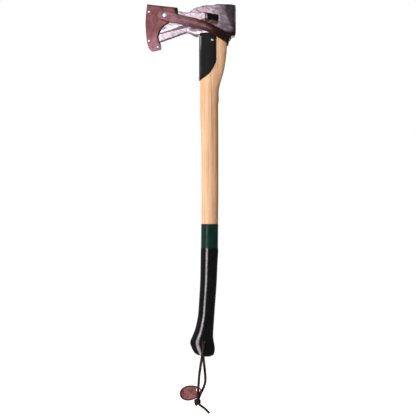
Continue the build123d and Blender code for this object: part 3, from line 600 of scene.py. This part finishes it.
# Browner behind the snap, paler towards the foot, and painted shade in dark red up over the fold.
brush(tone, between(x, -122, -100, 5) * fade(z, 632, 644), seen(124, 75, 77))
brush(tone, 1 - fade(z, 578, 616), seen(162, 108, 112))
brush(tone, 1 - fade(z, 568, 588), seen(166, 117, 121))
brush(tone, fade(x, -100, -78) * fade(z, 640, 652), seen(124, 82, 74))
brush(tone, fade(z - fold, -5.0, -2.6), seen(108, 52, 48))
brush(tone, fade(z - fold, -1.4, -0.4), seen(84, 38, 38))
brush(tone, fade(-x, 136.5, 140) * 0.6, seen(116, 66, 68))
# The black band along the cut at its back, partly its dyed edge and partly painted shadow, and a painted
# shadow under the strap's lower edge.
brush(tone, 1 - fade(from_line(x, z, CUT_LINE), 2.2, 3.1), seen(22, 12, 14))
strap_shadow = from_line(x, z, STRAP_SHADOW_LINE)
brush(tone, (1 - fade(strap_shadow, 0.4, 1.6)) * 0.85, seen(56, 26, 30))
# The fold's black end, the cut edges all round, and the bare flesh side within.
rear = fade(x + 0.12 * (z - 655), -75.2, -73.8) * fade(z, 648, 650)
brush(tone, rear, seen(14, 10, 12))
cut = fade(0.75 - flat, 0, 0.3)
brush(tone, cut * fade(x, -112, -106) * (z < 650), seen(34, 18, 20))
brush(tone, cut * (z < 585), seen(92, 52, 54))
inside = (np.abs(y) < 9) & (flat > 0.6) & (np.sign(ny) * y < 0)
brush(tone, inside * 1.0, seen(150, 112, 92))
even_out(mask, tone)
keep_tones(mask, tone)
hide_finish = leather("sheath_leather", pores=820.0, depth=0.00022, specular=0.1)
mask.data.materials.append(hide_finish)
smooth(mask, 60)
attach(mask, "sheath")
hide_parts("sheath_near_leaf", "sheath_far_leaf", "sheath_spine")

# The welt is a stack of leather strips; its layers show along the front edge.
welt = merged_copy("sheath_welt_strip", "sheath_welt")
soften(welt, voxel=0.0007, passes=2)
x, y, z, nx, ny, nz = surface(welt)
tone = first_coat(welt, seen(112, 66, 62))
LAYER_THICK = 2.2
from_seam = np.abs(np.mod(y + 0.3, LAYER_THICK) - LAYER_THICK / 2)
brush(tone, 1 - fade(from_seam, 0.1, 0.5), seen(48, 26, 26))
keep_tones(welt, tone)
welt.data.materials.append(hide_finish)
smooth(welt, 60)
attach(welt, "sheath")
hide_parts("sheath_welt")

# ---- Strap ----
# One long strap of the same leather, snapped to both leaves and passed round the back of the neck. It turns
# darker towards the neck, partly as the leather's own colour and partly as painted shade, and its edges are
# dyed. Two lines follow its edges, seen from the side.
STRAP_TOP = [(-103.6, 655.2), (-88.6, 652.4), (-66.1, 646.2), (-39, 640), (-16.4, 633.2), (6.1, 624.1),
             (24.1, 615), (39.7, 607.2), (50, 601.5)]
STRAP_FOOT = [(-106, 635.6), (-88.2, 630), (-66.1, 625.2), (-39, 617.6), (-16.4, 611.6), (6.1, 602.5),
              (24.1, 592.4), (39.7, 582.8), (50, 576)]


def strap_piece(name, node, body):
    """One run of the strap: the soft leather over its plain solid."""
    piece = merged_copy(name, node)
    soften(piece, voxel=0.0007, passes=3)
    x, y, z, nx, ny, nz = surface(piece)
    tone = first_coat(piece, seen(154, 108, 112))
    # Darker towards the neck: partly the leather's own colour, partly painted shade where it turns away round
    # the cheek.
    brush(tone, fade(x, -84, -50), seen(118, 84, 90))
    brush(tone, fade(x, -56, -10), seen(80, 48, 52))
    brush(tone, fade(x, -12, 12), seen(44, 18, 18))
    brush(tone, fade(x, 18, 34), seen(24, 7, 7))
    top, foot = from_line(x, z, STRAP_TOP), from_line(x, z, STRAP_FOOT)
    # Painted shadow along its top edge towards the neck.
    brush(tone, (1 - fade(top, 0.8, 4.5)) * fade(x, -30, 10) * 0.85, seen(20, 7, 9))
    brush(tone, 1 - fade(x, -99, -86), seen(148, 96, 98))
    brush(tone, (1 - fade(top, 0.5, 1.5)) * fade(x, -92, -70) * 0.75, seen(62, 30, 32))
    brush(tone, (1 - fade(foot, 0.5, 1.5)) * 0.75, seen(62, 30, 32))
    # A painted highlight along the middle of its face.
    middle = np.exp(-((top - foot) / 6) ** 2) * between(x, -82, 6, 12)
    brush(tone, middle * 0.45, seen(168, 124, 128))
    edge = fade(0.8 - np.abs(ny), 0, 0.3) * (1 - fade(x, 38, 44))
    brush(tone, edge, seen(34, 15, 17))
    # Painted shade where it passes under the poll.
    brush(tone, fade(x, 40, 46) * fade(np.abs(nz), 0.5, 0.8), seen(20, 9, 10))
    even_out(piece, tone)
    keep_tones(piece, tone)
    piece.data.materials.append(strap_finish)
    smooth(piece, 60)
    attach(piece, body)
    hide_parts(node)


strap_finish = leather("strap_leather", pores=1100.0, depth=0.00015, specular=0.05)
strap_piece("near_strap", "strap_near_leg", "strap_near")
strap_piece("far_strap", "strap_far_leg", "strap_far")
strap_piece("neck_strap", "strap_bight", "tool")

# ---- Rivets and snaps ----
# Nickel-plated: three tubular rivets through both leaves and the welt, and a snap on each side, whose
# domed cap is closed over the strap.


def plated(name, node, body, centres, radius, pale):
    """Small bright metal: pale domes with a painted dark reflection round each."""
    piece = merged_copy(name, node)
    soften(piece, voxel=radius / 26 * MM, passes=2)
    x, y, z, nx, ny, nz = surface(piece)
    from_centres = [np.hypot(x - centre_x, z - centre_z) for centre_x, centre_z in centres]
    out_from = np.min(from_centres, axis=0) / radius
    tone = first_coat(piece, pale)
    # Painted reflections: bluish, then darker, towards the rim of each dome.
    brush(tone, fade(out_from, 0.42, 0.68), seen(132, 130, 168))
    brush(tone, fade(out_from, 0.74, 0.92), seen(58, 52, 84))
    keep_tones(piece, tone)
    piece.data.materials.append(nickel)
    smooth(piece, 50)
    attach(piece, body)
    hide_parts(node)


RIVET_PLACES = [(-132.4, 653.2), (-132.4, 587.4), (-112.3, 573.4)]
SNAP_PLACE = (-96.2, 644.8)
RIVET_RADIUS, SNAP_RADIUS = 3.2, 6.6
nickel = metal("nickel_plate", patches=0.25, scratches=0.1, metallic=0.85, specular=0.4)
plated("leaf_rivets", "sheath_rivets", "sheath", RIVET_PLACES, RIVET_RADIUS, pale=seen(226, 226, 238))
for side_name in ("near", "far"):
    plated("snap_dome_" + side_name, "snap_cap_" + side_name, "strap_" + side_name, [SNAP_PLACE], SNAP_RADIUS,
           pale=seen(198, 194, 214))


def dress(node, finish):
    """Give a CAD node its finish."""
    data = nodes[node].data
    data.materials.clear()
    data.materials.append(finish)


snap_steel = metal("snap_steel", patches=0.4, scratches=0.2, colour=(0.42, 0.4, 0.42))
for node in ("snap_socket_near", "snap_socket_far", "snap_stud_near", "snap_stud_far"):
    dress(node, snap_steel)

# ---- Handle, wedges and liner ----
# Straight-grained ash, oiled: long pale fibres, darker summer wood in narrow lines, and short open pores.
# A hardwood wedge and a steel ring spread it in the eye, which is lined with black scale.
grain, grain_in, grain_out = new_group("ash_grain",
                                       [("Vector", "NodeSocketVector", (0, 0, 0)),
                                        ("Pale", "NodeSocketColor", (0.8, 0.52, 0.3, 1)),
                                        ("Dark", "NodeSocketColor", (0.6, 0.34, 0.18, 1))],
                                       [("Colour", "NodeSocketColor"), ("Height", "NodeSocketFloat"),
                                        ("Gloss", "NodeSocketFloat")])
along = stretch(grain, grain_in.outputs["Vector"], (1.0, 1.0, 0.035))
wander = noise(grain, stretch(grain, grain_in.outputs["Vector"], (1.0, 1.0, 0.25)), 22.0, 2.0)
rings = grain.nodes.new("ShaderNodeTexWave")
rings.wave_type = "BANDS"
rings.bands_direction = "X"
rings.wave_profile = "SAW"
for key, value in (("Scale", 62.0), ("Distortion", 3.0), ("Detail", 2.0), ("Detail Scale", 1.4)):
    rings.inputs[key].default_value = value
grain.links.new(along, rings.inputs["Vector"])
fibre = noise(grain, along, 900.0, 4.0, 0.65)
broad = noise(grain, along, 150.0, 3.0, 0.55)
pore_cells = noise(grain, stretch(grain, grain_in.outputs["Vector"], (1.0, 1.0, 0.06)), 1500.0, 2.0, 0.5)
pore_lines = calculate(grain, "GREATER_THAN", pore_cells, 0.66)
dark_share = calculate(grain, "ADD", calculate(grain, "MULTIPLY", rings.outputs["Fac"], 0.34),
                       calculate(grain, "MULTIPLY_ADD", fibre, 1.6, -0.72))
dark_share = calculate(grain, "ADD", dark_share, calculate(grain, "MULTIPLY_ADD", broad, 2.7, -1.3))
dark_share = calculate(grain, "ADD", dark_share, calculate(grain, "MULTIPLY_ADD", wander, 0.5, -0.25))
mixed = blend_colour(grain, "MIX", dark_share, grain_in.outputs["Pale"], grain_in.outputs["Dark"])
mixed = blend_colour(grain, "MULTIPLY", calculate(grain, "MULTIPLY", pore_lines, 0.25), mixed,
                     (0.55, 0.4, 0.3))
grain.links.new(mixed, grain_out.inputs["Colour"])
grain.links.new(calculate(grain, "SUBTRACT", fibre, calculate(grain, "MULTIPLY", pore_lines, 0.5)),
                grain_out.inputs["Height"])
grain.links.new(calculate(grain, "MULTIPLY_ADD", fibre, 0.25, 0.36), grain_out.inputs["Gloss"])


def ramp(tree, value, stops):
    """A colour for each value, between the stops' own."""
    node = tree.nodes.new("ShaderNodeValToRGB")
    socket(tree, value, node.inputs["Fac"])
    points = node.color_ramp.elements
    while len(points) < len(stops):
        points.new(0.5)
    for point, (place, colour) in zip(points, stops):
        point.position = place
        point.color = (*colour, 1)
    return node.outputs["Color"]


def facing_back(tree):
    """How far the surface faces backwards: 1 at its very back, and -1 at its front."""
    facing = tree.nodes.new("ShaderNodeSeparateXYZ")
    tree.links.new(tree.nodes.new("ShaderNodeTexCoord").outputs["Normal"], facing.inputs[0])
    return facing.outputs["X"]


KNOB_HOLE = (-8.4 * MM, 0, -95.6 * MM)
BORE_RADIUS = 0.008
END_GRAIN_Z = 0.6625


def timber(name, pale, dark):
    """Oiled wood in two tones, with black oil in the bore and on the end grain, and painted shade on its
    back.
    """
    made, tree, shader = material(name, specular=0.14)
    fibres = put(tree, grain, Vector=object_place(tree), Pale=(*pale, 1), Dark=(*dark, 1))
    hole = tree.nodes.new("ShaderNodeVectorMath")
    hole.operation = "DISTANCE"
    tree.links.new(stretch(tree, object_place(tree), (1.0, 0.0, 1.0)), hole.inputs[0])
    hole.inputs[1].default_value = KNOB_HOLE
    bore = calculate(tree, "LESS_THAN", hole.outputs["Value"], BORE_RADIUS)
    height = tree.nodes.new("ShaderNodeSeparateXYZ")
    tree.links.new(object_place(tree), height.inputs[0])
    oiled_end = calculate(tree, "GREATER_THAN", height.outputs["Z"], END_GRAIN_Z)
    stained = blend_colour(tree, "MULTIPLY", bore, fibres.outputs["Colour"], (0.07, 0.06, 0.07))
    ended = blend_colour(tree, "MULTIPLY", oiled_end, stained, (0.24, 0.26, 0.4))
    shaded_back = ramp(tree, calculate(tree, "MULTIPLY_ADD", facing_back(tree), 0.5, 0.5),
                   [(0.2, (0.95, 0.9, 0.94)), (0.5, (0.85, 0.82, 0.86)), (0.7, (0.84, 0.76, 0.73)),
                    (0.85, (0.7, 0.61, 0.55)), (0.95, (0.46, 0.39, 0.34))])
    # The painted shade on the back fades out from 460 mm up to the neck at 590 mm.
    below_neck = calculate(tree, "MULTIPLY_ADD", height.outputs["Z"], -8.0, 4.7)
    tree.links.new(blend_colour(tree, "MULTIPLY", below_neck, ended, shaded_back), shader.inputs["Base Color"])
    tree.links.new(fibres.outputs["Gloss"], shader.inputs["Roughness"])
    tree.links.new(bump(tree, fibres.outputs["Height"], 0.35, 0.0002), shader.inputs["Normal"])
    return made


dress("handle", timber("oiled_ash", pale=(0.99, 0.63, 0.365), dark=(0.68, 0.375, 0.185)))
dress("eye_wedge", timber("wedge_wood", pale=(0.46, 0.27, 0.13), dark=(0.26, 0.13, 0.06)))
ring_steel = metal("ring_steel", patches=0.6, scratches=0.3, colour=(0.33, 0.32, 0.33))
dress("ring_wedge", ring_steel)
LINER_BLACK = (0.004, 0.0045, 0.0045, 1)
dark_eye, tree, shader = material("scaled_liner", roughness=0.7, specular=0.03)
face = put(tree, worn, Vector=object_place(tree), Colour=LINER_BLACK, Patches=0.8, Scratches=0.2)
tree.links.new(face.outputs["Colour"], shader.inputs["Base Color"])
dress("eye_liner", dark_eye)

# ---- Painted band ----
# A collar of thick green lacquer round the wood, where the grip begins, brushed on by hand: level along the
# handle, with fine sags and a few specks.
lacquer, tree, shader = material("green_lacquer", roughness=0.26, specular=0.075)
place = object_place(tree)
sag = noise(tree, stretch(tree, place, (1.0, 1.0, 0.3)), 160.0, 3.0)
speck = noise(tree, place, 900.0, 2.0)
shade = ramp(tree, sag, [(0.3, (0.001, 0.016, 0.0095)), (0.7, (0.0025, 0.032, 0.021))])
specks = ramp(tree, speck, [(0.35, (0.5, 0.5, 0.5)), (0.5, (1, 1, 1))])
tree.links.new(blend_colour(tree, "MULTIPLY", 0.6, shade, specks), shader.inputs["Base Color"])
relief = calculate(tree, "ADD", sag, calculate(tree, "MULTIPLY", speck, 0.25))
tree.links.new(bump(tree, relief, 0.3, 0.0004), shader.inputs["Normal"])
dress("green_band", lacquer)

# ---- Dipped grip ----
# Black rubber-like coating, dipped, with a fine pebbled skin and dust in it. A painted highlight runs as a
# pale line along its front, and on into the rim of the lanyard hole.
dip, tree, shader = material("dipped_grip", specular=0.05)
place = object_place(tree)
pebble = tree.nodes.new("ShaderNodeTexVoronoi")
pebble.feature = "SMOOTH_F1"
tree.links.new(place, pebble.inputs["Vector"])
pebble.inputs["Scale"].default_value = 950.0
pebble.inputs["Smoothness"].default_value = 0.5
dust = noise(tree, place, 70.0, 4.0)
# The painted highlight lies where the skin faces forwards by about a quarter.
painted_streak = ramp(tree, calculate(tree, "MULTIPLY_ADD", facing_back(tree), -1.0, 0.06),
              [(0.17, (0, 0, 0)), (0.25, (1, 1, 1)), (0.31, (1, 1, 1)), (0.38, (0, 0, 0))])
streak_tone = ramp(tree, dust, [(0.2, (0.16, 0.145, 0.16)), (0.8, (0.6, 0.54, 0.6))])
painted_streak = blend_colour(tree, "MULTIPLY", 1.0, painted_streak, streak_tone)
fleck = noise(tree, place, 420.0, 3.0, 0.7)
dusty = calculate(tree, "MULTIPLY_ADD", dust, 0.6, -0.2)
skin = ramp(tree, calculate(tree, "MULTIPLY_ADD", fleck, 0.8, dusty),
            [(0.35, (0.0006, 0.0006, 0.0008)), (0.62, (0.006, 0.0057, 0.0062))])
tree.links.new(blend_colour(tree, "ADD", 1.0, skin, painted_streak), shader.inputs["Base Color"])
tree.links.new(calculate(tree, "MULTIPLY_ADD", dust, 0.24, 0.16), shader.inputs["Roughness"])
tree.links.new(bump(tree, pebble.outputs["Distance"], 0.22, 0.0004), shader.inputs["Normal"])
dress("grip_coating", dip)

# ---- Guard and its bolt ----
# Two millimetre steel bent round the front of the neck, powder-coated black, with painted shade on its top,
# painted light on its front and a painted highlight along its bend. A domed bolt and its nut go through the
# neck, and a small screw holds the tip.
guard = merged_copy("neck_guard", "guard_sleeve")
soften(guard, voxel=0.0006, passes=3)
x, y, z, nx, ny, nz = surface(guard)
tone = first_coat(guard, seen(22, 22, 23))
# Painted shade on its top, under the head.
brush(tone, fade(nz, 0.5, 0.8), seen(12, 12, 12))
# Painted light on the faces that look forwards.
front_light = fade(-nx, 0.6, 0.9) * 0.5
brush(tone, front_light, seen(50, 50, 52))
# A painted highlight along the front bend, strongest near the top.
bend_x = 0.004 * (SHOULDER_Z - z) - 15.4
bend_highlight = np.exp(-((x - bend_x) / 1.5) ** 2) * fade(z, 498, 520) * (1 - fade(z, 596, 600))
brush(tone, bend_highlight * (np.abs(ny) > 0.2) * (0.1 + 0.6 * fade(z, 560, 585)), seen(160, 160, 162))
keep_tones(guard, tone)
powder, tree, shader = material("powder_coat", specular=0.05)
place = object_place(tree)
orange_peel = noise(tree, place, 800.0, 2.0)
cloud = noise(tree, place, 60.0, 3.0)
tree.links.new(blend_colour(tree, "MULTIPLY", 1.0, brushed(tree),
                            calculate(tree, "MULTIPLY_ADD", cloud, 0.8, 0.55)), shader.inputs["Base Color"])
tree.links.new(calculate(tree, "MULTIPLY_ADD", cloud, 0.2, 0.42), shader.inputs["Roughness"])
tree.links.new(bump(tree, orange_peel, 0.25, 0.0002), shader.inputs["Normal"])
guard.data.materials.append(powder)
smooth(guard, 60)
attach(guard, "tool")
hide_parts("guard_sleeve")
bolt = merged_copy("guard_bolt_head", "guard_bolt")
soften(bolt, voxel=0.00018, passes=2)
x, y, z, nx, ny, nz = surface(bolt)
tone = first_coat(bolt, seen(236, 230, 222))
# Its dome is painted pale as a highlight, and a painted reflection of the dark ground lies in a slanting bow
# along its lower side.
BOLT_X, BOLT_REFLECTION_Z = 10.6, 586.2
reflected_bow = z - BOLT_REFLECTION_Z - 0.45 * np.abs(x - BOLT_X) + 0.5 * (x - BOLT_X)
brush(tone, 1 - fade(reflected_bow, -0.9, 0.2), seen(38, 36, 36))
keep_tones(bolt, tone)
bolt.data.materials.append(nickel)
smooth(bolt, 50)
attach(bolt, "tool")
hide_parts("guard_bolt")
dress("guard_nut", ring_steel)
dress("guard_front_screw", ring_steel)

# ---- Tag ----
# An egg of the sheath's hide, punched with one hole for the lace. It is dyed dark at its rounded rim, and
# its finish has cracked into specks.
TAG_MIDDLE_X, TAG_MIDDLE_Z = -37.5, -209.6
TAG_HALF_LONG, TAG_HALF_HIGH = 25.5, 16.7
TAG_TAPER = 0.16
TAG_LEAN = math.radians(11.5)
tag = merged_copy("oval_tag", "leather_tag")
shape(tag, "BEVEL", width=0.0009, segments=3, limit_method="ANGLE")
soften(tag, voxel=0.0004, passes=2)
x, y, z, nx, ny, nz = surface(tag)
tone = first_coat(tag, seen(142, 92, 88))
out_x, out_z = x - TAG_MIDDLE_X, z - TAG_MIDDLE_Z
along = (out_x * math.cos(TAG_LEAN) + out_z * math.sin(TAG_LEAN)) / TAG_HALF_LONG
across = (out_z * math.cos(TAG_LEAN) - out_x * math.sin(TAG_LEAN)) / TAG_HALF_HIGH / (1 - TAG_TAPER * along)
round_tag = np.hypot(along, across)
brush(tone, fade(round_tag, 0.74, 0.88), seen(96, 40, 46))
brush(tone, fade(0.8 - np.abs(ny), 0, 0.4), seen(58, 24, 28))
keep_tones(tag, tone)
rough_hide, tree, shader = material("tag_leather", roughness=0.6, specular=0.08)
place = object_place(tree)
surface_grain = put(tree, hide, Vector=place, Pores=700.0)
# Each cell may hold one ragged speck, smaller in some cells than in others.
ragged = noise(tree, place, 900.0, 3.0, 0.6)
dots = tree.nodes.new("ShaderNodeTexVoronoi")
tree.links.new(place, dots.inputs["Vector"])
dots.inputs["Scale"].default_value = 240.0
reach = calculate(tree, "ADD", dots.outputs["Distance"], calculate(tree, "MULTIPLY", ragged, 0.5))
chosen = tree.nodes.new("ShaderNodeSeparateColor")
tree.links.new(dots.outputs["Color"], chosen.inputs[0])
reach = calculate(tree, "ADD", reach, calculate(tree, "MULTIPLY", chosen.outputs[0], 0.4))
speck_mask = ramp(tree, reach, [(0.62, (1, 1, 1)), (0.74, (0, 0, 0))])
lit = blend_colour(tree, "MULTIPLY", 1.0, brushed(tree), surface_grain.outputs["Shade"])
specked = blend_colour(tree, "MIX", calculate(tree, "MULTIPLY", speck_mask, 0.9), lit, (0.035, 0.027, 0.035))
tree.links.new(specked, shader.inputs["Base Color"])
tree.links.new(bump(tree, surface_grain.outputs["Height"], 0.6, 0.0003), shader.inputs["Normal"])
tag.data.materials.append(rough_hide)
smooth(tag, 60)
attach(tag, "lanyard")
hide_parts("leather_tag")

# ---- Knot ----
# Both strands are drawn into a tight overhand knot under the tag. One end is cut short, and the other is
# the tail.


def in_metres(x, y, z):
    """A place that is given in millimetres."""
    return x * MM, y * MM, z * MM


# Two turns that cross, the two ends that come out below them, and the lace drawn up in their middle.
bpy.ops.object.select_all(action="DESELECT")
DRAWN_RADIUS = 2.5 * MM
turns = []
for tilt, twist, turn_radius in ((22, 14, 5.8), (-24, -16, 5.6)):
    bpy.ops.mesh.primitive_torus_add(major_segments=40, minor_segments=16, major_radius=turn_radius * MM,
                                     minor_radius=DRAWN_RADIUS, location=in_metres(-22.2, -2.4, -229.6),
                                     rotation=(math.radians(twist), math.radians(tilt), 0))
    turns.append(bpy.context.object)
for end_radius, long, tilt, place in ((2.4, 6.5, -38, in_metres(-25.6, -3.4, -236.4)),
                                      (2.7, 8, 127, in_metres(-22.0, -2.5, -233.6))):
    bpy.ops.mesh.primitive_cylinder_add(vertices=20, radius=end_radius * MM, depth=long * MM, location=place,
                                        rotation=(0, math.radians(tilt), 0))
    turns.append(bpy.context.object)
bpy.ops.mesh.primitive_uv_sphere_add(segments=20, ring_count=12, radius=5.2 * MM,
                                     location=in_metres(-22.0, -2.2, -230.6))
turns.append(bpy.context.object)
for turn in turns:
    turn.select_set(True)
bpy.ops.object.join()
knot = bpy.context.object
knot.name = "lace_knot"
bpy.ops.object.transform_apply()
soften(knot, voxel=0.0004, passes=2)
knot.data.materials.append(lace_leather)
smooth(knot, 60)
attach(knot, "lanyard")
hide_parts("lanyard_knot")

# The lace fills the hole in the knob. It is rubbed pale at one side of the rim.
bpy.ops.object.select_all(action="DESELECT")
PLUG_RADIUS, PLUG_LONG = 3.95 * MM, 28.2 * MM
bpy.ops.mesh.primitive_cylinder_add(vertices=32, radius=PLUG_RADIUS, depth=PLUG_LONG, location=KNOB_HOLE,
                                    rotation=(math.radians(90), 0, 0))
plug = bpy.context.object
plug.name = "lace_plug"
bpy.ops.object.transform_apply()
shape(plug, "BEVEL", width=0.0014, segments=4, limit_method="ANGLE")
shape(plug, "REMESH", mode="VOXEL", voxel_size=0.00035, use_smooth_shade=True)
x, y, z, nx, ny, nz = surface(plug)
tone = first_coat(plug, seen(44, 26, 26))
brush(tone, fade(x, -6.9, -5.6) * fade(z, -97.6, -95.2), seen(158, 130, 114))
keep_tones(plug, tone)
plug.data.materials.append(leather("rubbed_lace", LACE_PORES, LACE_RELIEF, specular=0.0))
smooth(plug, 60)
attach(plug, "lanyard")
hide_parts("lace_in_hole")
